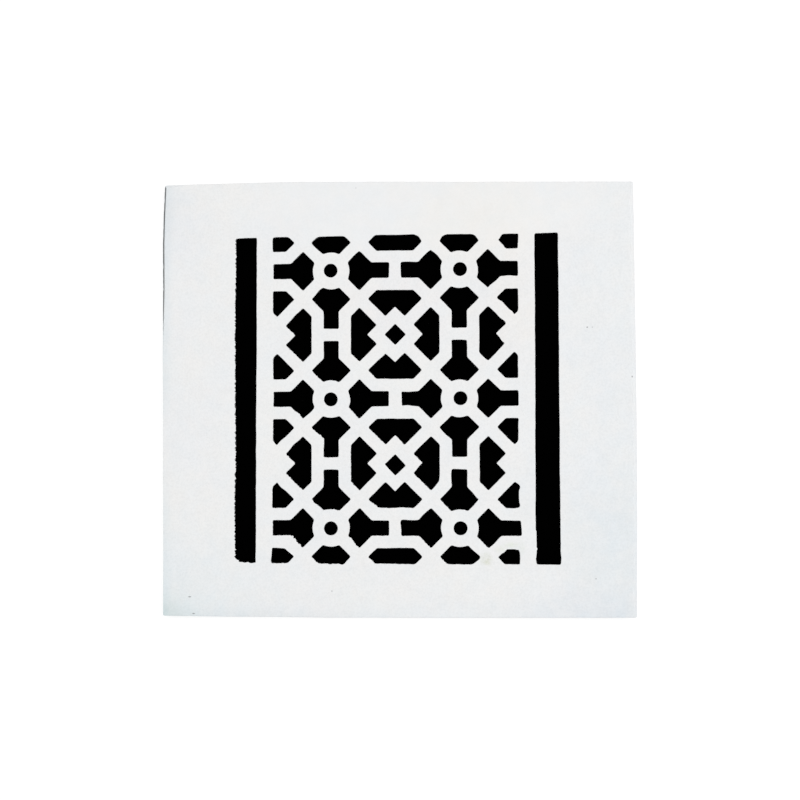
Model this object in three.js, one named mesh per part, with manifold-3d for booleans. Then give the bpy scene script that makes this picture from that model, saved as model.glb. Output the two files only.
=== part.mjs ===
// A floor vent grille: one flat iron casting, painted white, that lies over a duct opening in a floor.
// A plain border frames a window filled with an open lattice, and a long slot runs down each side of
// the window. The lattice repeats on a square pitch: pierced rings, small pierced diamonds half a pitch
// away both ways, straight bars from ring to diamond, and a regular octagon of flat bars round each
// diamond, with short links between neighbouring octagons.
//
// The grille lies flat as in use. X runs across the slots, Y along them, and Z up from the floor. The
// origin is the middle of the underside. All sizes are millimetres.
import * as THREE from "three";
import { mergeVertices } from "three/addons/utils/BufferGeometryUtils.js";
import Module from "manifold-3d";

// Lattice, as seen on the face.
const pitch = 60; // from ring to ring, both ways
const ringColumns = 2;
const ringRows = 3;
const ringRadius = 8.8;
const ringHoleRadius = 3.1;
const ringSegments = 32;
const diamondApothem = 9.3; // from the middle to a side
const diamondHoleApothem = 3.3;
const barWidth = 5.9;
const railSpacing = 12.8; // between the middles of two neighbouring octagons' parallel bars
const sideMargin = 27.2; // from the middle of an outer column of rings to the window's side
const endMargin = 16.2; // from the middle of the last row of rings to the window's end

// Frame.
const webWidth = 8; // between the window and a slot
const slotWidth = 10.4;
const sideBorder = 35.2; // outside a slot
const endBorder = 25.4; // beyond the ends of the window and the slots
const thickness = 6.4;
const plateCornerRadius = 1.6;
const openingCornerRadius = 0.8;
const cornerSegments = 3;

// Foundry details.
const rimBevel = 1.2; // round the plate's upper edge
const edgeBreak = 0.5; // along the upper edge of every bar and opening
const draft = 1.1; // by which each bar's side and each opening's wall slopes back, going down

const windowWidth = (ringColumns - 1) * pitch + 2 * sideMargin;
const openingLength = (ringRows - 1) * pitch + 2 * endMargin;
const slotOffset = windowWidth / 2 + webWidth + slotWidth / 2;
const plateWidth = 2 * (slotOffset + slotWidth / 2 + sideBorder);
const plateLength = openingLength + 2 * endBorder;
const octagonApothem = (pitch - railSpacing) / 2;
const overrun = 2; // by which a cutting body runs past what it cuts
const neckOverlap = 0.05; // by which a cutter's two flared halves run into each other

const wasm = await Module();
wasm.setup();

// A three.js geometry as a closed solid that can be joined and cut.
function solid(geometry) {
  geometry.deleteAttribute("normal");
  geometry.deleteAttribute("uv");
  const merged = mergeVertices(geometry, 1e-4);
  return new wasm.Manifold(
    new wasm.Mesh({
      numProp: 3,
      vertProperties: merged.attributes.position.array,
      triVerts: new Uint32Array(merged.index.array),
    }),
  );
}

// A solid as a three.js geometry.
function geometryOf(body) {
  const mesh = body.getMesh();
  const geometry = new THREE.BufferGeometry();
  geometry.setAttribute("position", new THREE.BufferAttribute(mesh.vertProperties, 3));
  geometry.setIndex(new THREE.BufferAttribute(mesh.triVerts, 1));
  geometry.computeVertexNormals();
  return geometry;
}

// A box between two heights, centred on the origin in plan.
function slab(width, length, low, high) {
  const box = new THREE.BoxGeometry(width, length, high - low);
  return solid(box.translate(0, 0, (low + high) / 2));
}

// A rectangle with rounded corners about a point.
function roundedRectangle(width, length, radius, x = 0) {
  const right = width / 2;
  const top = length / 2;
  const shape = new THREE.Shape();
  shape.moveTo(x - right + radius, -top);
  shape.lineTo(x + right - radius, -top);
  shape.absarc(x + right - radius, -top + radius, radius, -Math.PI / 2, 0);
  shape.absarc(x + right - radius, top - radius, radius, 0, Math.PI / 2);
  shape.absarc(x - right + radius, top - radius, radius, Math.PI / 2, Math.PI);
  shape.absarc(x - right + radius, -top + radius, radius, Math.PI, 1.5 * Math.PI);
  return shape;
}

// A body that is the outline at one height, grows evenly to another, and runs straight on past it.
function flared(outline, smallAt, largeAt, growth) {
  const run = Math.abs(largeAt - smallAt);
  const geometry = new THREE.ExtrudeGeometry(outline, {
    depth: overrun,
    curveSegments: cornerSegments,
    bevelThickness: run,
    bevelSize: growth,
    bevelSegments: 1,
  });
  return solid(
    smallAt > largeAt
      ? geometry.translate(0, 0, smallAt - overrun - run)
      : geometry.translate(0, 0, smallAt + run),
  );
}

// The body that cuts an opening: narrowest just under the face, wider below by the draft and above by
// the broken edge.
function openingCutter(outline) {
  const neck = thickness - edgeBreak;
  const below = flared(outline, neck + neckOverlap, 0, draft);
  const above = flared(outline, neck - neckOverlap, thickness, edgeBreak);
  return below.add(above);
}

// The section of a bar between two sides, as a closed outline: across, then up.
function barSection(inner, outer) {
  const neck = thickness - edgeBreak;
  return [
    new THREE.Vector2(inner + draft, 0),
    new THREE.Vector2(outer - draft, 0),
    new THREE.Vector2(outer, neck),
    new THREE.Vector2(outer - edgeBreak, thickness),
    new THREE.Vector2(inner + edgeBreak, thickness),
    new THREE.Vector2(inner, neck),
  ];
}

// The same section where it reaches the middle, so that what it turns into has no hole.
function fullSection(outer) {
  return [
    new THREE.Vector2(0, 0),
    ...barSection(0, outer).slice(1, 4),
    new THREE.Vector2(0, thickness),
  ];
}

// A straight bar on the plan from one point to another.
function bar(from, to) {
  const along = new THREE.Vector3(to.x - from.x, to.y - from.y, 0);
  const length = along.length();
  along.normalize();
  const up = new THREE.Vector3(0, 0, 1);
  const across = new THREE.Vector3().crossVectors(up, along);
  const section = new THREE.Shape(barSection(-barWidth / 2, barWidth / 2));
  const geometry = new THREE.ExtrudeGeometry(section, { depth: length, bevelEnabled: false });
  const frame = new THREE.Matrix4().makeBasis(across, up, along).setPosition(from.x, from.y, 0);
  return solid(geometry.applyMatrix4(frame));
}

// A section turned about an upright axis into a ring of flat sides, with a corner at the given angle.
// The section's distances are to the sides' middles.
function turned(section, sides, cornerAngle, centre) {
  const stretch = 1 / Math.cos(Math.PI / sides);
  const profile = section.map((p) => new THREE.Vector2(p.x * stretch, p.y));
  profile.push(profile[0].clone());
  const geometry = new THREE.LatheGeometry(profile, sides, cornerAngle);
  geometry.rotateX(Math.PI / 2);
  return solid(geometry.translate(centre.x, centre.y, 0));
}

// Whether all of a hole of this reach lies inside the window. The frame fills one that it would cut.
function holeShows(centre, reach) {
  const clearAcross = Math.abs(centre.x) + reach <= windowWidth / 2;
  const clearAlong = Math.abs(centre.y) + reach <= openingLength / 2;
  return clearAcross && clearAlong;
}

function ring(centre) {
  const section = holeShows(centre, ringHoleRadius)
    ? barSection(ringHoleRadius, ringRadius)
    : fullSection(ringRadius);
  return turned(section, ringSegments, 0, centre);
}

function diamond(centre) {
  const section = holeShows(centre, diamondHoleApothem * Math.SQRT2)
    ? barSection(diamondHoleApothem, diamondApothem)
    : fullSection(diamondApothem);
  return turned(section, 4, 0, centre);
}

function octagon(centre) {
  const section = barSection(octagonApothem - barWidth / 2, octagonApothem + barWidth / 2);
  return turned(section, 8, Math.PI / 8, centre);
}

// The four bars that run diagonally from a ring to the diamonds round it, from band to band.
function spokes(centre) {
  const start = (ringRadius + ringHoleRadius) / 2;
  const end = pitch / Math.SQRT2 - (diamondApothem + diamondHoleApothem) / 2;
  return [1, 3, 5, 7].map((eighth) => {
    const way = new THREE.Vector2(1, 0).rotateAround(new THREE.Vector2(), (eighth * Math.PI) / 4);
    return bar(centre.clone().addScaledVector(way, start), centre.clone().addScaledVector(way, end));
  });
}

// The short bar that links two neighbouring octagons, midway between them.
function link(middle, way) {
  const half = railSpacing / 2;
  return bar(middle.clone().addScaledVector(way, -half), middle.clone().addScaledVector(way, half));
}

// All of the lattice's bodies, out to a pitch past the window.
function latticeBodies() {
  const inWindow = (p) => Math.abs(p.x) < windowWidth / 2 && Math.abs(p.y) < openingLength / 2;
  const acrossWay = new THREE.Vector2(1, 0);
  const alongWay = new THREE.Vector2(0, 1);
  const bodies = [];
  for (let column = -1; column <= ringColumns; column += 1) {
    for (let row = -1; row <= ringRows; row += 1) {
      const x = (column - (ringColumns - 1) / 2) * pitch;
      const y = (row - (ringRows - 1) / 2) * pitch;
      const ringCentre = new THREE.Vector2(x, y);
      const diamondCentre = new THREE.Vector2(x + pitch / 2, y + pitch / 2);
      bodies.push(ring(ringCentre), ...spokes(ringCentre));
      bodies.push(diamond(diamondCentre), octagon(diamondCentre));
      const besideRing = new THREE.Vector2(x + pitch / 2, y);
      const aboveRing = new THREE.Vector2(x, y + pitch / 2);
      if (inWindow(besideRing)) bodies.push(link(besideRing, alongWay));
      if (inWindow(aboveRing)) bodies.push(link(aboveRing, acrossWay));
    }
  }
  return bodies;
}

// The border, with the window and the two slots cut through it.
function frame() {
  const outline = roundedRectangle(plateWidth, plateLength, plateCornerRadius);
  const blank = new THREE.ExtrudeGeometry(outline, {
    depth: thickness - rimBevel,
    curveSegments: cornerSegments,
    bevelThickness: rimBevel,
    bevelSize: rimBevel,
    bevelOffset: -rimBevel,
    bevelSegments: 1,
  });
  const floor = slab(plateWidth + overrun, plateLength + overrun, -rimBevel - overrun, 0);
  const openings = [
    roundedRectangle(windowWidth, openingLength, openingCornerRadius),
    roundedRectangle(slotWidth, openingLength, openingCornerRadius, -slotOffset),
    roundedRectangle(slotWidth, openingLength, openingCornerRadius, slotOffset),
  ];
  const plate = solid(blank).subtract(floor);
  return openings.reduce((body, opening) => body.subtract(openingCutter(opening)), plate);
}

// The lattice, trimmed half-way into the frame's solid strips so that it is rooted in them.
function lattice() {
  const whole = latticeBodies().reduce((body, next) => body.add(next));
  const root = webWidth / 2;
  const reach = slab(windowWidth + 2 * root, openingLength + 2 * root, -overrun, thickness + overrun);
  return whole.intersect(reach);
}

const paint = new THREE.MeshStandardMaterial({ color: 0xeceeef, roughness: 0.5, metalness: 0 });
const casting = new THREE.Mesh(geometryOf(frame().add(lattice())), paint);
casting.name = "floor_grille";

const grille = new THREE.Group();
grille.add(casting);

export default grille;
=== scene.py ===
# The looks of a floor vent grille: one flat iron casting in white paint, lying on a pale floor. The
# casting has the rounded, slightly uneven edges that a sand mould leaves, and a painted surface. Sizes
# are in millimetres until a mesh is made, and the mesh is in metres. The origin is the middle of the
# underside, X runs across the slots and Y along them.
import math

import bpy
import numpy as np
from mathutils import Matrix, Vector
from mathutils.geometry import delaunay_2d_cdt


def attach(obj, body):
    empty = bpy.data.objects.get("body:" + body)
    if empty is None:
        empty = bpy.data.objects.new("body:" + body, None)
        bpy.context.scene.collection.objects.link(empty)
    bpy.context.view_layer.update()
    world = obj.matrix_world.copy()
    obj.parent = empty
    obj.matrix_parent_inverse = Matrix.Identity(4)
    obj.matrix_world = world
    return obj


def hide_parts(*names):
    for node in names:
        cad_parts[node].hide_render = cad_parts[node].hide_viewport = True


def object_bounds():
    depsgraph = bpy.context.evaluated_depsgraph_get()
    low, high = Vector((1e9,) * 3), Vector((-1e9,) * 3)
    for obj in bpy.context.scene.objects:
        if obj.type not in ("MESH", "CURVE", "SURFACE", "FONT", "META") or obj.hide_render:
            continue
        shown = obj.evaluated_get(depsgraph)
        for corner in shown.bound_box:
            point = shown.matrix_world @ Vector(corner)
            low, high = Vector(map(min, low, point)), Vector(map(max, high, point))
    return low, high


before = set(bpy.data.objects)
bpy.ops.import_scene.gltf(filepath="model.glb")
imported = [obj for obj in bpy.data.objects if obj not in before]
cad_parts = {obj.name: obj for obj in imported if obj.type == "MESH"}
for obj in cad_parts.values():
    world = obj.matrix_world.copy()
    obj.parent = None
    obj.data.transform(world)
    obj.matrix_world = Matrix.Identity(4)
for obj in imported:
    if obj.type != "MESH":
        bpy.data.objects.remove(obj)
packed_low, packed_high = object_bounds()

MM = 0.001

# Sizes of the casting.
HALF_WIDTH = packed_high.x / MM
HALF_LENGTH = packed_high.y / MM
THICKNESS = packed_high.z / MM
PITCH = 60.0
BAR = 5.8
RING_RADIUS = 8.75
RING_HOLE = 3.2
DIAMOND = 9.25
DIAMOND_HOLE = 3.5
OCTAGON = 23.6
DRAFT = 1.1

# Where each side of an opening really stands in this casting, as pairs: the place along the side, and
# the side's distance from the middle there.
WINDOW_LEFT = [
    (-76, -58),
    (-66, -57.7),
    (-60, -57.45),
    (-50, -57.75),
    (-20, -57.5),
    (0, -57.15),
    (20, -57.5),
    (48, -57.6),
    (60, -57.25),
    (68, -57.6),
    (76, -57.95),
]
WINDOW_RIGHT = [
    (-76, 57.65),
    (-70, 57.8),
    (-68, 58.4),
    (-62, 58.55),
    (-56, 58.2),
    (-54, 58.3),
    (-51.4, 57.5),
    (-40, 57.2),
    (-20, 57.15),
    (0, 57.25),
    (15, 57.05),
    (40, 57.3),
    (60, 57.25),
    (68, 57.1),
    (74, 57.45),
]
WINDOW_TOP = [(-58, 76.3), (-45, 76.1), (-28, 76.25), (-10, 76.5), (12, 76.55), (30, 76.3), (48, 76.1)]
WINDOW_BOTTOM = [(-58, -76.3), (-28, -76.55), (-10, -76.4), (12, -76.8), (30, -76.6), (58, -76.65)]
LEFT_SLOT_LEFT = [
    (-76, -75.7),
    (-66, -75.65),
    (-45, -75.5),
    (-31, -75.2),
    (-10, -75.4),
    (30, -75.7),
    (50, -75.5),
    (63, -75.25),
]
LEFT_SLOT_RIGHT = [(-76, -65.6), (-20, -65.55), (30, -65.35)]
LEFT_SLOT_TOP = [(-76, 75.85), (-65, 76)]
LEFT_SLOT_BOTTOM = [(-76, -76.2), (-65, -76.6)]
RIGHT_SLOT_LEFT = [(-76, 65.35), (-61.5, 65.3), (-60.8, 65.05), (0, 65), (40, 65.1), (76, 64.95)]
RIGHT_SLOT_RIGHT = [(-76, 76.35), (-40, 76.2), (0, 76.05), (37, 76), (76, 75.65)]
RIGHT_SLOT_TOP = [(65, 76.15), (75, 76.35)]
RIGHT_SLOT_BOTTOM = [(65, -76.6), (75, -76.6)]

# The same for the plate's own four sides.
PLATE_LEFT = [
    (-102, -109.62),
    (-50, -109.8),
    (0, -110.04),
    (20, -110.3),
    (60, -110.6),
    (74, -110.7),
    (86, -110.4),
    (102, -109.75),
]
PLATE_RIGHT = [
    (-102, 110.9),
    (-60, 111.35),
    (-30, 111.52),
    (-10, 111.45),
    (10, 111.32),
    (30, 111.2),
    (56, 110.93),
    (102, 110.5),
]
PLATE_BOTTOM = [
    (-110, -101.25),
    (-88, -101.45),
    (-67, -101.5),
    (-46, -101.52),
    (-30, -101.62),
    (40, -101.25),
    (110, -100.65),
]
PLATE_TOP = [(-110, 101.95), (-88, 102.1), (-67, 102.3), (-46, 102.45), (0, 101.6), (110, 99.6)]

# Lumps of metal left in the openings and, with a minus, hollows bitten out of their sides: place, reach
# and height.
LUMPS = [
    (-47.7, -3.6, 0.5, 0.3),
    (-44.7, -6.9, 0.5, 0.25),
    (-35.0, -16.8, 0.5, 0.3),
    (-33.6, -18.6, 0.5, 0.2),
    (-46.6, -65.2, 0.6, 0.4),
    (-44.6, -67.5, 0.5, 0.3),
    (-19.7, -64.7, 0.5, 0.25),
    (-17.8, -67.0, 0.4, 0.25),
    (-4.3, -50.3, 0.6, 0.2),
    (-5.7, -48.9, 0.5, 0.25),
    (-38.0, -49.8, 0.5, 0.25),
    (-36.6, -51.2, 0.5, 0.25),
    (-34.3, -76.5, 0.5, -0.2),
    (-30.5, -76.8, 0.9, -0.3),
    (-24.6, -77.0, 1.1, -0.4),
    (65.4, -69.5, 0.5, 0.55),
    (-75.2, 67.4, 0.5, 0.35),
    (48.9, 74.9, 1.2, 0.3),
    (50.3, 71.2, 2.1, 0.6),
    (57.6, -40.7, 1.4, -0.8),
    (57.9, -49.6, 1.2, -0.5),
    (-7.0, 63.9, 6.0, -0.25),
    (6.2, 63.7, 6.0, -0.35),
    (14.0, 66.2, 3.0, -0.3),
    (19.7, 66.8, 3.0, -0.35),
    (11.2, 75.4, 1.6, -0.5),
    (22.2, 75.3, 1.5, -0.55),
    (37.2, 75.3, 1.5, -0.35),
    (46.0, 40.2, 5.0, -0.3),
    (41.0, 20.5, 3.0, -0.3),
    (38.4, 57.0, 3.5, 0.3),
    (-51.0, 42.2, 4.5, 0.25),
    (-24.6, -76.2, 0.9, -0.3),
    (65.0, -74.2, 1.4, -0.3),
    (76.3, -73.8, 1.4, -0.25),
    (-69.2, -76.1, 0.7, 0.4),
    (-57.7, 76.2, 1.2, 0.3),
    (-58.0, -75.0, 1.2, -0.3),
    (54.0, -70.2, 3.4, 0.45),
    (48.6, -73.0, 1.2, 0.3),
    (54.6, 40.0, 1.4, 0.45),
    (52.0, 42.6, 2.2, 0.25),
    (50.0, 26.6, 1.8, 0.6),
    (50.0, 44.4, 1.5, 0.5),
    (43.6, 52.4, 3.0, 0.45),
    (53.2, 56.8, 3.0, 0.35),
    (48.4, 73.1, 1.3, 0.5),
    (50.6, -70.8, 1.5, 0.5),
    (57.0, -69.6, 1.4, 0.55),
    (57.0, -50.4, 1.2, 0.4),
    (37.5, -46.2, 2.6, 0.5),
    (20.0, -38.4, 2.4, 0.35),
    (5.4, -2.8, 3.6, 0.45),
    (6.0, 2.8, 3.4, 0.35),
    (-5.2, 19.9, 2.4, 0.45),
    (-20.4, -2.0, 3.0, 0.35),
    (-44.9, -7.0, 1.8, 0.5),
    (-54.0, -19.9, 2.4, 0.4),
    (-34.2, -18.6, 3.4, 0.35),
    (-53.6, -40.6, 2.4, 0.5),
    (-34.6, -50.9, 1.8, 0.55),
    (-9.0, -49.8, 2.4, 0.55),
    (3.4, -50.2, 4.0, 0.3),
    (-20.3, -65.0, 1.6, 0.5),
    (-48.2, -64.0, 1.4, 0.45),
    (-51.2, -70.2, 2.8, 0.5),
    (3.4, -57.5, 2.6, -0.5),
    (13.4, -54.2, 3.6, -0.45),
    (38.4, -74.0, 2.2, -0.5),
    (46.0, -66.8, 2.4, -0.35),
    (27.0, -36.0, 4.0, -0.4),
    (11.8, -31.0, 2.0, -0.4),
    (23.4, -16.0, 3.4, -0.4),
    (50.5, 35.4, 1.6, -0.5),
    (-40.0, -5.6, 2.6, -0.45),
    (-47.0, -21.6, 2.6, -0.4),
    (-68.0, -75.7, 1.4, -0.5),
    (-46.8, 39.0, 3.6, -0.4),
    (-35.4, 50.6, 2.2, -0.4),
    (-36.9, 71.8, 3.0, -0.4),
    (-19.4, 66.4, 3.2, -0.35),
]

# The middles of the round holes, and those of the diamonds' holes with how far each is sheared.
RING_HOLES = [(-30.25, 60.15), (30.45, 60.1), (-30.15, -0.15), (30.45, 0.1), (-30.1, -60.2), (30.35, -60.05)]
DIAMOND_HOLES = [(0.1, 29.95, 0.0), (0.08, -30.75, 0.065)]

# What the mould leaves: fillets, rounded corners, a sway of the whole pattern, and on the sides of the
# openings long swells and fine grit, with the sides standing back a little.
FILLET = 0.6
CORNER = 0.5
RIGHT_SLOT_CORNER = 0.7
SWAY = 0.07
SWELL = 0.08
GRIT = 0.04
SET_BACK = 0.03
EDGE_ROUND = 0.25
FOOT_ROUND = 0.25

# Where the sand broke in the lattice: how deep, over what step a side's facing is taken, from which
# facing on and how much further it is full, and the sums of X and Y at which it is full and gone.
BROKEN_DEPTH = 0.34
BROKEN_STEP = 0.3
BROKEN_FACING = 0.55
BROKEN_FURTHER = 0.4
BROKEN_FROM = -140
BROKEN_TO = 70

# The left slot's torn outer side, and the metal left in its lower corner.
TORN_DEPTH = 0.47
TORN_X = -75.45
TORN_WIDTH = 1.6
TORN_CORNER_X = -73
TORN_CORNER_Y = -74
TORN_CORNER_REACH = 3.5
TORN_STRETCH = 0.4
KEPT_X = -70.4
KEPT_Y = -73.0
KEPT_WIDTH = 5.0
KEPT_HEIGHT = 3.1
KEPT_LEFT = -80
KEPT_RIGHT = -65.4
KEPT_TOP = -70

# The rim: the spacing of its points, its corners' radius, its bevel, and how far that and the foot are
# rounded.
RIM_STEP = 1.5
RIM_CORNER = 0.8
RIM_BEVEL = 1.2
RIM_SOFT = 0.25
RIM_FOOT = 0.4
LEAST_INNER_CORNER = 0.02

# The bevel's share along each side of the plate, how far in from a side its share still counts, and
# over what width it fades.
RIGHT_BEVEL = 1.25
TOP_BEVEL = 0.35
BOTTOM_BEVEL = 0.25
LOWER_LEFT_BEVEL = 0.14
LEAST_BEVEL = 0.12
SIDE_REACH = 6
SIDE_FADE = 4

# The dents along the rim: their middle depth, and how much the swells and the grit add to it.
DENT = 0.06
DENT_SWELL = 0.04
DENT_GRIT = 0.02

# How finely the mesh is made: the grid that the outlines are read from, how far it reaches, how far a
# straight piece may stray from the outline, the least points in a loop, and the step for slopes.
GRID = 0.25
GRID_HALF_WIDTH = 80
GRID_HALF_LENGTH = 79
CONTOUR_SLACK = 0.012
LEAST_LOOP = 12
SLOPE_STEP = 0.08


# Smooth noise.
class Noise:
    """Smooth random values between about -1 and 1 over the plane, with humps of a given size."""

    def __init__(self, size, seed):
        self.size = size
        self.table = np.random.default_rng(seed).uniform(-1, 1, (256, 256))

    def __call__(self, x, y):
        u = np.asarray(x) / self.size + 1000.5
        v = np.asarray(y) / self.size + 1000.5
        i = np.floor(u).astype(int)
        j = np.floor(v).astype(int)
        s = u - i
        t = v - j
        s = s * s * (3 - 2 * s)
        t = t * t * (3 - 2 * t)
        rows = self.table[i % 256, j % 256], self.table[(i + 1) % 256, j % 256]
        next_rows = self.table[i % 256, (j + 1) % 256], self.table[(i + 1) % 256, (j + 1) % 256]
        near = rows[0] * (1 - s) + rows[1] * s
        far = next_rows[0] * (1 - s) + next_rows[1] * s
        return near * (1 - t) + far * t


sway_x = Noise(14, 1)
sway_y = Noise(14, 2)
edge_swell = Noise(3.6, 3)
edge_grit = Noise(1.2, 4)
torn_grit = Noise(0.5, 5)
broken_grit = Noise(0.55, 8)
rim_swell = Noise(22, 6)
rim_grit = Noise(3, 7)


def along(stations, place):
    """The value between the stations on either side of a place."""
    return np.interp(place, [s[0] for s in stations], [s[1] for s in stations])


# The outline of the metal, as a depth: how far inside the metal a point of the plan is, below zero in
# an opening.
def joined(a, b):
    """Two bodies in one, with a fillet in the corner between them."""
    reach = np.hypot(np.maximum(a + FILLET, 0), np.maximum(b + FILLET, 0))
    return reach - np.maximum(FILLET, -np.maximum(a, b))


def boxed(p, q, corner):
    """How far outside a box with rounded corners a point is, from its distances past two sides."""
    outside = np.hypot(np.maximum(p + corner, 0), np.maximum(q + corner, 0))
    return outside + np.minimum(np.maximum(p, q) + corner, 0) - corner


def blunt_max(a, b, width):
    """The larger of the two, with its kink rounded off over a width."""
    overlap = np.maximum(width - np.abs(a - b), 0)
    return np.maximum(a, b) + overlap * overlap / (4 * width)


def lattice_depth(x, y):
    """The lattice, folded into the quarter between a ring's middle and a diamond's."""
    from_ring_x = np.abs(x % PITCH - PITCH / 2)
    from_ring_y = np.abs((y + PITCH / 2) % PITCH - PITCH / 2)
    a = PITCH / 2 - from_ring_x
    b = PITCH / 2 - from_ring_y
    slant = (a + b) / math.sqrt(2)
    cross = np.abs(a - b) / math.sqrt(2)
    ring = RING_RADIUS - np.hypot(from_ring_x, from_ring_y)
    spoke = BAR / 2 - cross
    diamond = -boxed(slant - DIAMOND, cross - DIAMOND, CORNER)
    around = blunt_max(np.maximum(a, b), slant, 0.5)
    octagon = BAR / 2 - np.abs(around - OCTAGON)
    # The links that would straddle the window's sides are part of its frame.
    across_link = np.where(np.abs(x) < PITCH / 2, np.minimum(BAR / 2 - a, b - OCTAGON), -9)
    along_link = np.minimum(BAR / 2 - b, a - OCTAGON)
    metal = joined(joined(ring, spoke), diamond)
    return joined(joined(metal, octagon), np.maximum(across_link, along_link))


def past_opening(x, y, left, right, bottom, top, corner):
    """How far outside an opening with four uneven sides a point is."""
    across = np.maximum(along(left, y) - x, x - along(right, y))
    lengthwise = np.maximum(along(bottom, x) - y, y - along(top, x))
    return boxed(across, lengthwise, corner)


def framed_lattice_depth(x, y):
    """The lattice within its window."""
    window = past_opening(x, y, WINDOW_LEFT, WINDOW_RIGHT, WINDOW_BOTTOM, WINDOW_TOP, CORNER)
    return joined(lattice_depth(x, y), window)


def broken_share(x, y):
    """How broken the sand was: most by the lattice's lower left corner. It is broken on the sides of
    the openings that have the metal below them or to their left, and most where it is both."""
    facing = framed_lattice_depth(x - BROKEN_STEP, y - BROKEN_STEP) - framed_lattice_depth(
        x + BROKEN_STEP, y + BROKEN_STEP
    )
    facing = facing / (2 * math.sqrt(2) * BROKEN_STEP)
    by_corner = np.clip((BROKEN_TO - x - y) / (BROKEN_TO - BROKEN_FROM), 0, 1)
    return np.clip((facing - BROKEN_FACING) / BROKEN_FURTHER, 0, 1) * by_corner


def metal_depth(x, y):
    """The depth with every slot, nick, hole and roughness."""
    wx = x + SWAY * sway_x(x, y)
    wy = y + SWAY * sway_y(x, y)
    depth = framed_lattice_depth(wx, wy) + BROKEN_DEPTH * broken_share(wx, wy) * broken_grit(x, y)
    left_slot = past_opening(
        wx, wy, LEFT_SLOT_LEFT, LEFT_SLOT_RIGHT, LEFT_SLOT_BOTTOM, LEFT_SLOT_TOP, CORNER
    )
    right_slot = past_opening(
        wx, wy, RIGHT_SLOT_LEFT, RIGHT_SLOT_RIGHT, RIGHT_SLOT_BOTTOM, RIGHT_SLOT_TOP, RIGHT_SLOT_CORNER
    )
    depth = np.minimum(np.minimum(depth, left_slot), right_slot)
    # Metal left in the left slot's lower corner.
    corner_x = np.maximum(KEPT_X - wx, 0)
    corner_y = np.maximum(KEPT_Y - wy, 0)
    in_corner = (wx < KEPT_RIGHT) & (wx > KEPT_LEFT) & (wy < KEPT_TOP)
    kept = np.hypot(corner_x / KEPT_WIDTH, corner_y / KEPT_HEIGHT) * KEPT_HEIGHT - KEPT_HEIGHT
    depth = np.where(in_corner, np.maximum(depth, kept), depth)
    for lump_x, lump_y, reach, height in LUMPS:
        near = ((x - lump_x) ** 2 + (y - lump_y) ** 2) / reach**2
        depth = depth + height * np.exp(-near)
    # Broken sand makes the left slot's outer side ragged, and more so lower down.
    torn = np.clip(1.1 - np.abs(wx - TORN_X) / TORN_WIDTH, 0, 1) * np.clip(0.95 - wy / 600, 0, 1)
    from_corner = np.hypot(wx - TORN_CORNER_X, wy - TORN_CORNER_Y)
    torn = np.maximum(torn, np.clip(1.5 - from_corner / TORN_CORNER_REACH, 0, 1))
    grit = GRIT * edge_grit(x, y)
    rough = SWELL * edge_swell(x, y) + grit + TORN_DEPTH * torn * torn_grit(TORN_STRETCH * x, y)
    depth = depth + rough - SET_BACK
    for hole_x, hole_y in RING_HOLES:
        depth = np.minimum(depth, np.hypot(wx - hole_x, wy - hole_y) - RING_HOLE + grit)
    for hole_x, hole_y, shear in DIAMOND_HOLES:
        off_x = np.abs(wx - hole_x)
        off_y = np.abs(wy - hole_y + shear * (wx - hole_x))
        slant = (off_x + off_y) / math.sqrt(2) - DIAMOND_HOLE
        cross = np.abs(off_x - off_y) / math.sqrt(2) - DIAMOND_HOLE
        depth = np.minimum(depth, boxed(slant, cross, CORNER) + grit)
    return depth


def slope(x, y):
    """The direction in plan in which the metal's depth grows."""
    gx = metal_depth(x + SLOPE_STEP, y) - metal_depth(x - SLOPE_STEP, y)
    gy = metal_depth(x, y + SLOPE_STEP) - metal_depth(x, y - SLOPE_STEP)
    length = np.maximum(np.hypot(gx, gy), 1e-9)
    return gx / length, gy / length


# Contours of that depth.
def contours(values, xs, ys, level):
    """Closed loops of points along which a gridded value crosses a level."""
    v = values - level
    v = np.where(v == 0, 1e-9, v)
    inside = v > 0
    points = {}

    def crossing(i, j, upward):
        key = (i, j, upward)
        if key not in points:
            k, m = (i, j + 1) if upward else (i + 1, j)
            t = v[i, j] / (v[i, j] - v[k, m])
            px = xs[i] + t * (xs[k] - xs[i])
            py = ys[j] + t * (ys[m] - ys[j])
            points[key] = (px, py)
        return key

    case = (
        inside[:-1, :-1] * 1 + inside[1:, :-1] * 2 + inside[1:, 1:] * 4 + inside[:-1, 1:] * 8
    )
    # Each cell's sides in order: bottom, right, top, left. A segment keeps the metal on its left.
    segments = {
        1: [(0, 3)],
        2: [(1, 0)],
        3: [(1, 3)],
        4: [(2, 1)],
        5: [(0, 3), (2, 1)],
        6: [(2, 0)],
        7: [(2, 3)],
        8: [(3, 2)],
        9: [(0, 2)],
        10: [(1, 0), (3, 2)],
        11: [(1, 2)],
        12: [(3, 1)],
        13: [(0, 1)],
        14: [(3, 0)],
    }
    following = {}
    for i, j in zip(*np.nonzero((case > 0) & (case < 15))):
        i = int(i)
        j = int(j)
        side = [(i, j, False), (i + 1, j, True), (i, j + 1, False), (i, j, True)]
        for start, end in segments[int(case[i, j])]:
            following[crossing(*side[start])] = crossing(*side[end])
    loops = []
    while following:
        first = next(iter(following))
        loop = []
        key = first
        while key in following:
            loop.append(points[key])
            key = following.pop(key)
        loops.append(np.array(loop))
    return loops


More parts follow.
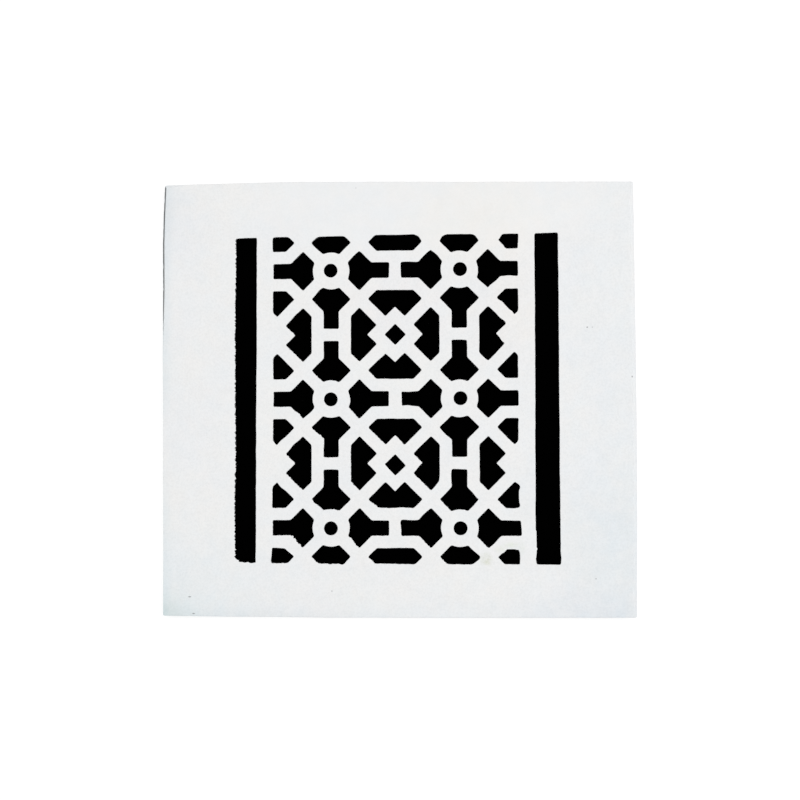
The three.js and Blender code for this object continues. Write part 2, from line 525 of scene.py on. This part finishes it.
def thinned(loop, slack):
    """The loop with the points left out that lie within the slack of a straight line."""
    count = len(loop)
    far = int(np.argmax(np.hypot(*(loop - loop[0]).T)))
    keep = {0, far}
    stack = [(0, far), (far, count)]
    while stack:
        start, end = stack.pop()
        if end - start < 2:
            continue
        a = loop[start]
        b = loop[end % count]
        heading = (b - a) / max(np.hypot(*(b - a)), 1e-9)
        between = loop[start + 1 : end] - a
        off = np.abs(between[:, 0] * heading[1] - between[:, 1] * heading[0])
        worst = int(np.argmax(off))
        if off[worst] > slack:
            middle = start + 1 + worst
            keep.add(middle)
            stack.append((start, middle))
            stack.append((middle, end))
    return loop[sorted(keep)]


def rim_shares():
    """The rim's points from the lower left corner on, as shares of the way from the plate's middle to a
    corner's own middle, in X and Y, and then of the corner's radius, in X and Y."""
    turn = np.linspace(0, math.pi / 2, 7)[1:-1]
    parts = []
    for quarter in range(4):
        side = HALF_WIDTH if quarter % 2 == 0 else HALF_LENGTH
        place = np.linspace(-1, 1, int(2 * side / RIM_STEP))
        flat = np.zeros_like(place)
        part = np.concatenate(
            [
                np.stack([place, flat - 1, flat, flat - 1], 1),
                np.stack([turn * 0 + 1, turn * 0 - 1, np.sin(turn), -np.cos(turn)], 1),
            ]
        )
        for _ in range(quarter):
            part = np.stack([-part[:, 1], part[:, 0], -part[:, 3], part[:, 2]], 1)
        parts.append(part)
    return np.concatenate(parts)


def rim_loop(inset=0.0):
    """The plate's outline, set in by a distance that may vary along it."""
    shares = rim_shares()
    corner = np.maximum(RIM_CORNER - inset, LEAST_INNER_CORNER)
    x = shares[:, 0] * (HALF_WIDTH - inset - corner) + shares[:, 2] * corner
    y = shares[:, 1] * (HALF_LENGTH - inset - corner) + shares[:, 3] * corner
    # The casting isn't quite square.
    x_scale = np.where(x > 0, along(PLATE_RIGHT, y), -along(PLATE_LEFT, y)) / HALF_WIDTH
    y_scale = np.where(y > 0, along(PLATE_TOP, x), -along(PLATE_BOTTOM, x)) / HALF_LENGTH
    return np.stack([x * x_scale, y * y_scale], 1)


def rim_facing(loop):
    """The outward direction in plan at each point of a rim loop."""
    ahead = np.roll(loop, -1, 0) - np.roll(loop, 1, 0)
    ahead /= np.hypot(*ahead.T)[:, None]
    return np.stack([ahead[:, 1], -ahead[:, 0]], 1)


def bevel_share(loop):
    """The bevel's size along the rim, as a share of RIM_BEVEL. It is widest at the right, thin along
    the top and the bottom, and all but dies out down the left side."""
    x, y = loop.T
    left = np.clip((SIDE_REACH - x - HALF_WIDTH) / SIDE_FADE, 0, 1)
    right = np.clip((SIDE_REACH + x - HALF_WIDTH) / SIDE_FADE, 0, 1)
    past_corner = np.clip((x + 108) / 10, 0, 1)
    top = np.clip((SIDE_REACH + y - HALF_LENGTH) / SIDE_FADE, 0, 1) * past_corner
    bottom = np.clip((SIDE_REACH - y - HALF_LENGTH) / SIDE_FADE, 0, 1)
    low = np.clip((52 - y) / 32, 0, 1)
    along_ends = (1 - (1 - TOP_BEVEL) * top) * (1 - (1 - BOTTOM_BEVEL) * bottom)
    along_sides = (1 + (RIGHT_BEVEL - 1) * right) * (1 - (1 - LOWER_LEFT_BEVEL) * left * low)
    return np.maximum(along_sides * along_ends, LEAST_BEVEL)


# The casting's mesh. Its upper and under sheets meet along the openings' narrowest line, just below
# the face, and the rim's wall joins them all round.
def edge_profile():
    """Levels from an opening's narrowest line: depth into the metal, height, and tilt of the surface
    from level, in degrees. The first list goes up onto the face and the second down to the foot."""
    lean = math.degrees(math.atan2(DRAFT, THICKNESS))
    up = [
        (0.0, THICKNESS - EDGE_ROUND, -lean),
        (EDGE_ROUND * 0.29, THICKNESS - EDGE_ROUND * 0.29, 45),
        (EDGE_ROUND, THICKNESS, 90),
    ]
    down = [
        (DRAFT - 0.1, FOOT_ROUND, -lean - 25),
        (DRAFT + 0.15, 0.0, -90),
    ]
    return up, down


def rim_profile():
    """The same for the rim: inset, drop from the face and tilt. The foot's second value is a height."""
    half = RIM_SOFT * 0.7
    up = [
        (0.0, RIM_BEVEL + RIM_SOFT, 0),
        (0.05, RIM_BEVEL - 0.02, 22),
        (half, RIM_BEVEL - half, 45),
        (RIM_BEVEL - half, half, 45),
        (RIM_BEVEL + 0.03, 0.05, 68),
        (RIM_BEVEL + RIM_SOFT, 0.0, 90),
    ]
    down = [
        (0.0, RIM_FOOT, 0),
        (RIM_FOOT * 0.3, RIM_FOOT * 0.3, -45),
        (RIM_FOOT, 0.0, -90),
    ]
    return up, down


def triangulated(points, loops, barrier_loops, first_loop):
    """Triangles in plan between closed loops of points, reached from one of them without crossing
    a barrier loop."""
    edges = []
    barrier_edges = set()
    for number, loop in enumerate(loops):
        for k, start in enumerate(loop):
            if number in barrier_loops:
                barrier_edges.add(len(edges))
            edges.append((start, loop[(k + 1) % len(loop)]))
    spots = [Vector((p[0], p[1])) for p in points]
    made, made_edges, triangles, from_points, from_edges, _ = delaunay_2d_cdt(
        spots, edges, [], 0, 1e-5, True
    )
    barriers = set()
    for (a, b), sources in zip(made_edges, from_edges):
        if barrier_edges.intersection(sources):
            barriers.add((min(a, b), max(a, b)))
    beside = {}
    for number, triangle in enumerate(triangles):
        for k in range(3):
            a = triangle[k]
            b = triangle[(k + 1) % 3]
            beside.setdefault((min(a, b), max(a, b)), []).append(number)
    first_points = set(loops[first_loop])
    seed = next(
        n for n, t in enumerate(triangles) if any(first_points.intersection(from_points[c]) for c in t)
    )
    reached = {seed}
    stack = [seed]
    while stack:
        triangle = triangles[stack.pop()]
        for k in range(3):
            a = triangle[k]
            b = triangle[(k + 1) % 3]
            side = (min(a, b), max(a, b))
            if side in barriers:
                continue
            for other in beside[side]:
                if other not in reached:
                    reached.add(other)
                    stack.append(other)
    return made, [triangles[n] for n in sorted(reached)], from_points


def build_casting():
    xs = np.arange(-GRID_HALF_WIDTH, GRID_HALF_WIDTH + GRID / 2, GRID)
    ys = np.arange(-GRID_HALF_LENGTH, GRID_HALF_LENGTH + GRID / 2, GRID)
    grid_x, grid_y = np.meshgrid(xs, ys, indexing="ij")
    depth = metal_depth(grid_x, grid_y)

    positions = []
    normals = []

    def add_points(plan, heights, facing, tilt):
        start = len(positions)
        lift = math.sin(math.radians(tilt))
        flat = math.cos(math.radians(tilt))
        for (px, py), height, (nx, ny) in zip(plan, heights, facing):
            positions.append((px, py, height))
            normals.append((nx * flat, ny * flat, lift))
        return list(range(start, len(positions)))

    def add_contours(level, height, tilt):
        loops = []
        for loop in contours(depth, xs, ys, level):
            if len(loop) < LEAST_LOOP:
                continue
            plan = thinned(loop, CONTOUR_SLACK)
            gx, gy = slope(plan[:, 0], plan[:, 1])
            heights = np.full(len(plan), height)
            loops.append(add_points(plan, heights, np.stack([-gx, -gy], 1), tilt))
        return loops

    def add_rim(inset, height, tilt, at_foot=False):
        outline = rim_loop()
        facing = rim_facing(outline)
        share = 1.0 if at_foot else bevel_share(outline)
        dent = DENT + DENT_SWELL * rim_swell(*outline.T) + DENT_GRIT * rim_grit(*outline.T)
        heights = np.full(len(outline), height) if at_foot else THICKNESS - height * share
        return add_points(rim_loop(inset * share + dent), heights, facing, tilt)

    edge_up, edge_down = edge_profile()
    rim_up, rim_down = rim_profile()
    narrow = add_contours(*edge_up[0])
    upper = [loop for level in edge_up[1:] for loop in add_contours(*level)]
    under = [loop for level in edge_down for loop in add_contours(*level)]
    rim_upper = [add_rim(*level) for level in rim_up]
    rim_under = [add_rim(*level, at_foot=True) for level in rim_down]

    faces = []

    def add_sheet(rims, inner, facing_up):
        loops = rims + narrow + inner
        used = sorted({p for loop in loops for p in loop})
        local = {p: k for k, p in enumerate(used)}
        local_loops = [[local[p] for p in loop] for loop in loops]
        barriers = {0, *range(len(rims), len(rims) + len(narrow))}
        plan = [positions[p][:2] for p in used]
        made, triangles, sources = triangulated(plan, local_loops, barriers, len(rims) - 1)
        index = []
        for place, source in zip(made, sources):
            if source:
                index.append(used[source[0]])
            else:
                nearest = min(used, key=lambda p: math.dist(positions[p][:2], place))
                index.append(len(positions))
                positions.append((place.x, place.y, positions[nearest][2]))
                normals.append(normals[nearest])
        for a, b, c in triangles:
            faces.append((index[a], index[b], index[c]) if facing_up else (index[c], index[b], index[a]))

    add_sheet(rim_upper, upper, True)
    add_sheet(rim_under, under, False)
    top = rim_upper[0]
    foot = rim_under[0]
    for k in range(len(top)):
        n = (k + 1) % len(top)
        faces.append((foot[k], foot[n], top[n], top[k]))

    mesh = bpy.data.meshes.new("grille_casting")
    mesh.from_pydata([Vector(p) * MM for p in positions], [], faces)
    mesh.validate()
    mesh.update()
    mesh.shade_smooth()
    mesh.normals_split_custom_set_from_vertices([Vector(n).normalized() for n in normals])
    casting = bpy.data.objects.new("grille_casting", mesh)
    bpy.context.scene.collection.objects.link(casting)
    return casting


# Materials.
class Nodes:
    """A short way to write a material's nodes. Places and sizes in it are in millimetres."""

    def __init__(self, name):
        self.material = bpy.data.materials.new(name)
        self.material.use_nodes = True
        self.tree = self.material.node_tree
        self.shader = self.tree.nodes["Principled BSDF"]
        coordinates = self.tree.nodes.new("ShaderNodeTexCoord")
        scaled = self.tree.nodes.new("ShaderNodeVectorMath")
        scaled.operation = "SCALE"
        scaled.inputs["Scale"].default_value = 1 / MM
        self.tree.links.new(coordinates.outputs["Object"], scaled.inputs["Vector"])
        self.place = scaled.outputs["Vector"]
        split = self.tree.nodes.new("ShaderNodeSeparateXYZ")
        self.tree.links.new(self.place, split.inputs["Vector"])
        self.x, self.y, self.z = split.outputs

    def feed(self, value, socket):
        if isinstance(value, bpy.types.NodeSocket):
            self.tree.links.new(value, socket)
        elif isinstance(value, tuple) and len(value) == 3 and socket.type == "RGBA":
            socket.default_value = (*value, 1.0)
        else:
            socket.default_value = value

    def math(self, operation, a, b=0.0, clamp=False):
        node = self.tree.nodes.new("ShaderNodeMath")
        node.operation = operation
        node.use_clamp = clamp
        self.feed(a, node.inputs[0])
        self.feed(b, node.inputs[1])
        return node.outputs[0]

    def noise(self, size, detail=2.0, roughness=0.5, seed=0.0):
        """Noise with humps of about that size, from 0 to 1."""
        node = self.tree.nodes.new("ShaderNodeTexNoise")
        node.noise_dimensions = "4D"
        self.feed(self.place, node.inputs["Vector"])
        node.inputs["W"].default_value = seed
        node.inputs["Scale"].default_value = 1 / size
        node.inputs["Detail"].default_value = detail
        node.inputs["Roughness"].default_value = roughness
        return node.outputs["Fac"]

    def cells(self, size, seed):
        """The distance to the middle of the nearest of many scattered cells."""
        node = self.tree.nodes.new("ShaderNodeTexVoronoi")
        node.voronoi_dimensions = "4D"
        self.feed(self.place, node.inputs["Vector"])
        node.inputs["W"].default_value = seed
        node.inputs["Scale"].default_value = 1 / size
        return node.outputs["Distance"]

    def ramp(self, value, low, high, out_low=0.0, out_high=1.0):
        node = self.tree.nodes.new("ShaderNodeMapRange")
        node.interpolation_type = "SMOOTHSTEP"
        self.feed(value, node.inputs["Value"])
        node.inputs["From Min"].default_value = low
        node.inputs["From Max"].default_value = high
        node.inputs["To Min"].default_value = out_low
        node.inputs["To Max"].default_value = out_high
        return node.outputs["Result"]

    def mix(self, share, a, b, blend="MIX"):
        node = self.tree.nodes.new("ShaderNodeMixRGB")
        node.blend_type = blend
        self.feed(share, node.inputs["Fac"])
        self.feed(a, node.inputs["Color1"])
        self.feed(b, node.inputs["Color2"])
        return node.outputs["Color"]

    def tinted(self, colour, share, tint):
        return self.mix(share, colour, tint, "MULTIPLY")

    def spot(self, x, y, reach_x, reach_y, inner=0.0):
        """1 in the middle of an oval on the face, and 0 past its rim."""
        across = self.math("DIVIDE", self.math("SUBTRACT", self.x, x), reach_x)
        lengthwise = self.math("DIVIDE", self.math("SUBTRACT", self.y, y), reach_y)
        squares = self.math("ADD", self.math("POWER", across, 2), self.math("POWER", lengthwise, 2))
        return self.ramp(self.math("SQRT", squares), inner, 1.0, 1.0, 0.0)

    def bump(self, height, depth, strength, before=None):
        node = self.tree.nodes.new("ShaderNodeBump")
        node.inputs["Strength"].default_value = strength
        node.inputs["Distance"].default_value = depth * MM
        self.feed(height, node.inputs["Height"])
        if before is not None:
            self.feed(before, node.inputs["Normal"])
        return node.outputs["Normal"]


# Large faint differences of tone painted into the paint's colour: middle, reach and tint. Most are painted
# shade, darker towards the bottom, the lower corners and the sides where the light falls off; a few are
# faintly warmer tints near the top.
TONES = [
    (-118, -110, 62, 44, (0.915, 0.955, 0.955)),
    (-95, -85, 62, 46, (0.974, 0.992, 1.0)),
    (-70, -103, 90, 8, (0.955, 0.96, 0.965)),
    (-109, 95, 12, 16, (0.955, 0.965, 0.972)),
    (-114, -106, 26, 22, (0.86, 0.905, 0.895)),
    (-106, 82, 30, 30, (0.965, 0.975, 0.995)),
    (102, 20, 42, 150, (0.972, 0.987, 1.0)),
    (104, -72, 44, 66, (0.932, 0.963, 0.982)),
    (92, -108, 74, 28, (0.93, 0.946, 0.968)),
    (38, 82, 46, 34, (1.0, 0.988, 0.968)),
    (52, 40, 30, 44, (1.0, 0.982, 0.972)),
    (0, 44, 44, 30, (1.0, 0.985, 0.985)),
    (62, -45, 16, 30, (0.975, 0.985, 0.995)),
    (0, -110, 220, 22, (0.945, 0.974, 0.995)),
]

# Painted shade that darkens the face towards the plate's left side and fades inwards: the X where it is full
# and the X where it has gone, the Y where it is full and the Y where it has gone, and tint.
LEFT_EDGE_SHADE = [
    (-110.4, -104.0, 10, -20, (0.915, 0.952, 0.972)),
    (-110.4, -104.0, -60, -10, (0.93, 0.96, 0.975)),
]

# The paint's two whites, the tint of its fine speckle, and the dark colour painted on the left bevel as
# shade.
COOL_WHITE = (0.79, 0.795, 0.80)
WARM_WHITE = (0.80, 0.80, 0.795)
SPECKLE = (0.945, 0.947, 0.95)
BEVEL_SHADE_COLOUR = (0.12, 0.125, 0.13)

# Dark specks in the paint: place, half width, half length and how dark, which SPECK_STRENGTH scales.
SPECK_STRENGTH = 1.9
SPECKS = [
    (89.0, 32.4, 0.45, 0.45, 0.34),
    (91.4, 32.4, 0.4, 0.35, 0.18),
    (109.4, 9.5, 0.4, 0.6, 0.3),
    (-96.9, -92.3, 1.0, 0.4, 0.3),
    (-95.0, -100.1, 0.9, 0.4, 0.3),
    (-29.6, -89.3, 0.45, 0.45, 0.22),
    (92.4, -83.0, 0.45, 0.45, 0.22),
    (-18.3, 98.8, 0.4, 0.4, 0.12),
    (54.2, 71.0, 0.35, 0.35, 0.1),
]

# Olive stains by the lower right corner of the lattice: middle, reach and tint.
STAINS = [
    (42.0, -74.2, 4.2, 4.4, (0.845, 0.855, 0.765)),
    (43.0, -76.2, 2.2, 1.6, (0.93, 0.935, 0.88)),
    (48.8, -69.6, 3.8, 2.6, (0.93, 0.95, 0.89)),
    (53.6, -67.6, 5.6, 2.0, (0.925, 0.955, 0.895)),
    (58.6, -69.2, 2.2, 5.0, (0.93, 0.95, 0.92)),
]


def paint_casting():
    paint = Nodes("white_paint")
    cloud = paint.noise(34, 3.0, 0.5, 1.0)
    mottle = paint.noise(6, 3.0, 0.6, 2.0)
    grain = paint.noise(0.9, 2.0, 0.6, 3.0)
    sand = paint.noise(0.45, 1.0, 0.5, 4.0)
    stray = paint.noise(9, 2.0, 0.5, 5.0)
    tinge = paint.noise(8, 2.5, 0.6, 10.0)

    # White paint, with faint clouds and a fine speckle.
    colour = paint.mix(paint.ramp(cloud, 0.35, 0.65), COOL_WHITE, WARM_WHITE)
    tinges = paint.mix(paint.ramp(tinge, 0.35, 0.65), (1.0, 0.993, 0.988), (0.986, 0.994, 1.0))
    colour = paint.tinted(colour, 1.0, tinges)
    colour = paint.tinted(colour, paint.ramp(mottle, 0.3, 0.75), (0.982, 0.988, 0.991))
    smoother = paint.spot(15, 90, 110, 28, 0.5)
    coarse = paint.math("MULTIPLY", paint.ramp(grain, 0.35, 0.75), paint.ramp(smoother, 0, 1, 1.0, 0.35))
    colour = paint.tinted(colour, coarse, SPECKLE)
    # Painted shade and tints: the darker tones stand in for light falling off towards the bottom, the
    # corners and the sides.
    for x, y, reach_x, reach_y, tint in TONES:
        share = paint.spot(x, y, reach_x, reach_y)
        broken = paint.math("MULTIPLY", share, paint.ramp(mottle, 0.2, 0.8, 0.75, 1.25), True)
        colour = paint.tinted(colour, broken, tint)

    # Painted shade along the left side of the face.
    for full, gone, along_full, along_gone, tint in LEFT_EDGE_SHADE:
        share = paint.ramp(paint.x, full, gone, 1.0, 0.0)
        share = paint.math("MULTIPLY", share, paint.ramp(paint.y, along_gone, along_full))
        colour = paint.tinted(colour, share, tint)

    # Dust in the pinholes, and specks.
    pinholes = paint.ramp(paint.cells(3.2, 6.0), 0.05, 0.11, 1.0, 0.0)
    shown = paint.math("MULTIPLY", pinholes, paint.ramp(stray, 0.5, 0.62, 0.0, 0.5))
    colour = paint.tinted(colour, shown, (0.8, 0.8, 0.8))
    for x, y, reach_x, reach_y, dark in SPECKS:
        share = paint.spot(x, y, reach_x, reach_y, 0.35)
        colour = paint.tinted(colour, share, (1 - dark * SPECK_STRENGTH,) * 3)

    # The olive stains.
    streaky = paint.ramp(paint.noise(1.6, 3.0, 0.6, 11.0), 0.35, 0.6, 0.35, 1.0)
    for x, y, reach_x, reach_y, tint in STAINS:
        share = paint.math("MULTIPLY", paint.spot(x, y, reach_x, reach_y, 0.1), streaky)
        colour = paint.tinted(colour, share, tint)

    # The left side's bevel is painted dark in its upper half: painted shade that stands in for the shadow on
    # it.
    rag = paint.ramp(paint.noise(2.2, 3.0, 0.6, 7.0), 0.2, 0.8, -0.25, 0.25)
    reach = paint.ramp(paint.y, 18, 48, -0.25, 0.95)
    depth = paint.math("SUBTRACT", THICKNESS - 0.1, paint.z)
    painted_bevel_shade = paint.ramp(paint.math("ADD", paint.math("SUBTRACT", reach, depth), rag), -0.08, 0.08)
    on_bevel = paint.ramp(depth, 0.12, 0.3)
    past_mitre = paint.math("SUBTRACT", paint.math("SUBTRACT", -8.2, paint.x), paint.y)
    at_left = paint.math("MULTIPLY", paint.ramp(paint.x, -106, -108), paint.ramp(past_mitre, -0.1, 0.4))
    below = paint.ramp(depth, 1.3, 1.9, 1.0, 0.0)
    for limit in (on_bevel, at_left, below):
        painted_bevel_shade = paint.math("MULTIPLY", painted_bevel_shade, limit)
    colour = paint.mix(painted_bevel_shade, colour, BEVEL_SHADE_COLOUR)

    # Painted shade, darker low on the walls and broken up by noise, and thinner, duller paint underneath.
    low = paint.ramp(paint.z, 0.0, 5.5, 1.0, 0.0)
    painted_low_shade = paint.math("MULTIPLY", low, paint.ramp(stray, 0.3, 0.7, 0.4, 1.0))
    colour = paint.tinted(colour, painted_low_shade, (0.9, 0.89, 0.87))
    under = paint.ramp(paint.z, 0.02, 0.12, 1.0, 0.0)
    blotch = paint.ramp(paint.noise(7, 5.0, 0.62, 8.0), 0.4, 0.7)
    colour = paint.tinted(colour, paint.math("MULTIPLY", under, blotch), (0.86, 0.85, 0.83))
    paint.feed(colour, paint.shader.inputs["Base Color"])

    rough = paint.ramp(paint.math("ADD", mottle, grain), 0.6, 1.4, 0.44, 0.62)
    # The painted shade on the left bevel is also rougher.
    rough = paint.math("ADD", rough, paint.math("MULTIPLY", painted_bevel_shade, 0.2))
    paint.feed(rough, paint.shader.inputs["Roughness"])
    paint.shader.inputs["Specular IOR Level"].default_value = 0.4

    normal = paint.bump(paint.noise(3.2, 3.0, 0.55, 9.0), 0.12, 0.35)
    normal = paint.bump(sand, 0.05, 0.5, normal)
    normal = paint.bump(grain, 0.07, 0.5, normal)
    pits = paint.math("ADD", pinholes, paint.math("MULTIPLY", under, blotch))
    normal = paint.bump(paint.math("MULTIPLY", pits, -1.0), 0.08, 0.5, normal)
    paint.feed(normal, paint.shader.inputs["Normal"])
    return paint.material


casting = build_casting()
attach(casting, "root")
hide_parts("floor_grille")
casting.data.materials.append(paint_casting())

# The floor, and a black card under the openings: a dark sheet that stands in for the shade beneath them.
# Sizes from here on are in metres, but for the drops.
FLOOR_SIZE = 8
FLOOR_DROP = 0.2
CARD_DROP = 0.1
CARD_WIDTH = 0.19
CARD_LENGTH = 0.18

bpy.ops.mesh.primitive_plane_add(size=FLOOR_SIZE, location=(0, 0, -FLOOR_DROP * MM))
floor = bpy.context.object
floor.name = "floor"
floor_paint = Nodes("pale_floor")
floor_cloud = floor_paint.ramp(floor_paint.noise(45, 4.0, 0.6, 20.0), 0.3, 0.7)
floor_tone = floor_paint.mix(floor_cloud, (0.44, 0.44, 0.44), (0.46, 0.46, 0.46))
floor_paint.feed(floor_tone, floor_paint.shader.inputs["Base Color"])
floor_grain = floor_paint.bump(floor_paint.noise(1.5, 3.0, 0.6, 21.0), 0.05, 0.3)
floor_paint.feed(floor_grain, floor_paint.shader.inputs["Normal"])
floor_paint.shader.inputs["Roughness"].default_value = 0.9
floor_paint.shader.inputs["Specular IOR Level"].default_value = 0.1
floor_paint.shader.inputs["Emission Color"].default_value = (1, 1, 1, 1)
floor_paint.shader.inputs["Emission Strength"].default_value = 0.6
floor.data.materials.append(floor_paint.material)

# The black card is painted shade: it makes the openings read dark.
bpy.ops.mesh.primitive_plane_add(size=1, location=(0, 0, -CARD_DROP * MM))
card = bpy.context.object
card.name = "shade_card"
card.scale = (CARD_WIDTH, CARD_LENGTH, 1)
black = Nodes("shade_card")
black_tone = black.mix(black.noise(2.0, 3.0, 0.6, 22.0), (0, 0, 0), (0.0006, 0.0006, 0.0006))
black.feed(black_tone, black.shader.inputs["Base Color"])
black.shader.inputs["Roughness"].default_value = 1
black.shader.inputs["Specular IOR Level"].default_value = 0
card.data.materials.append(black.material)

# Light: white surroundings and two lamps.
SURROUNDINGS = 0.682
OVERHEAD_POWER = 27.2
KEY_POWER = 38.9

scene = bpy.context.scene
world = bpy.data.worlds.new("studio")
scene.world = world
world.use_nodes = True
world.node_tree.nodes["Background"].inputs["Color"].default_value = (1, 1, 1, 1)
world.node_tree.nodes["Background"].inputs["Strength"].default_value = SURROUNDINGS


def softbox(name, place, size, power):
    """A square white lamp aimed at the middle of the plate."""
    light = bpy.data.lights.new(name, "AREA")
    light.shape = "SQUARE"
    light.size = size
    light.energy = power
    lamp = bpy.data.objects.new(name, light)
    lamp.location = place
    lamp.rotation_euler = (-Vector(place)).to_track_quat("-Z", "Y").to_euler()
    scene.collection.objects.link(lamp)


softbox("overhead", (0.1, 0.1, 3.0), 2.5, OVERHEAD_POWER)
softbox("key", (2.6, 0.9, 3.2), 1.6, KEY_POWER)

scene.view_settings.view_transform = "Standard"
scene.view_settings.look = "None"

# Camera: its place in millimetres, with its height over the face, and its turn in degrees.
CAMERA_X = 91.7
CAMERA_Y = -34.3
CAMERA_HEIGHT = 830.8
CAMERA_TURN = (2.298, 6.143, -0.087)

camera_data = bpy.data.cameras.new("camera")
camera_data.sensor_fit = "HORIZONTAL"
camera_data.sensor_width = 36
camera_data.lens = 81
camera = bpy.data.objects.new("camera", camera_data)
camera.location = Vector((CAMERA_X, CAMERA_Y, CAMERA_HEIGHT + THICKNESS)) * MM
camera.rotation_euler = [math.radians(a) for a in CAMERA_TURN]
camera_data.clip_start = 0.01
camera_data.clip_end = 50
scene.collection.objects.link(camera)
scene.camera = camera
